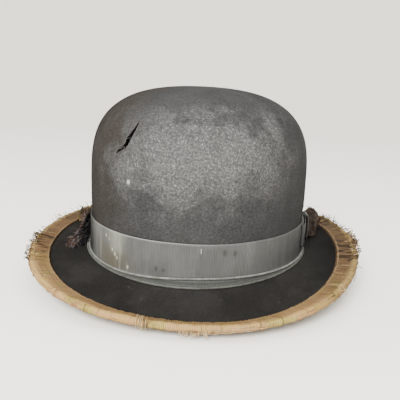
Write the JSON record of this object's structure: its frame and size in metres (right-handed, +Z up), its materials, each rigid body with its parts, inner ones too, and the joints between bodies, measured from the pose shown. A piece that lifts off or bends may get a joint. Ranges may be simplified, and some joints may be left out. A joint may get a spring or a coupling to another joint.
{
  "type": "bowler hat",
  "caption": "Stiff felt bowler hat with round crown, curled brim, ribbed hatband with flat bow, brim binding, leather sweatband and satin lining.",
  "frame": {"origin": "middle of the hat on the surface that its brim stands on", "axes": "+Z up through the crown, the front of the hat faces -Y, the bow of the band is on the wearer's left at +X"},
  "size_m": [0.2532, 0.2992, 0.1424],
  "materials": {
    "felt": "faded black fur felt, matt, with a pale bloom on the crown",
    "band_ribbon": "ribbed grosgrain, faded grey, slightly shiny where it is worn",
    "band_cord": "corded ribbon edge",
    "band_thread": "sewing thread",
    "binding_ribbon": "ribbed ribbon faded to tan, frayed",
    "binding_thread": "sewing thread",
    "sweatband_leather": "brown leather, polished by wear",
    "sweatband_thread": "sewing thread",
    "reed_cover": "dark silk ribbon",
    "lining_satin": "dark satin"
  },
  "bodies": {
    "root": {"felt_body": "felt", "brim_binding": "binding_ribbon", "binding_stitching_upper": "binding_thread", "binding_stitching_lower": "binding_thread", "hatband": "band_ribbon", "band_cord_upper": "band_cord", "band_cord_lower": "band_cord", "band_tack_front": "band_thread", "band_tack_right": "band_thread", "band_tack_back": "band_thread", "bow_loop_front": "band_ribbon", "bow_loop_back": "band_ribbon", "bow_knot": "band_ribbon", "sweatband": "sweatband_leather", "sweatband_reed": "reed_cover", "sweatband_stitching": "sweatband_thread", "sweatband_bow_loops": "reed_cover", "sweatband_bow_knot": "reed_cover", "lining_side": "lining_satin", "lining_tip": "lining_satin", "lining_seam_cord": "lining_satin"}
  },
  "joints": []
}
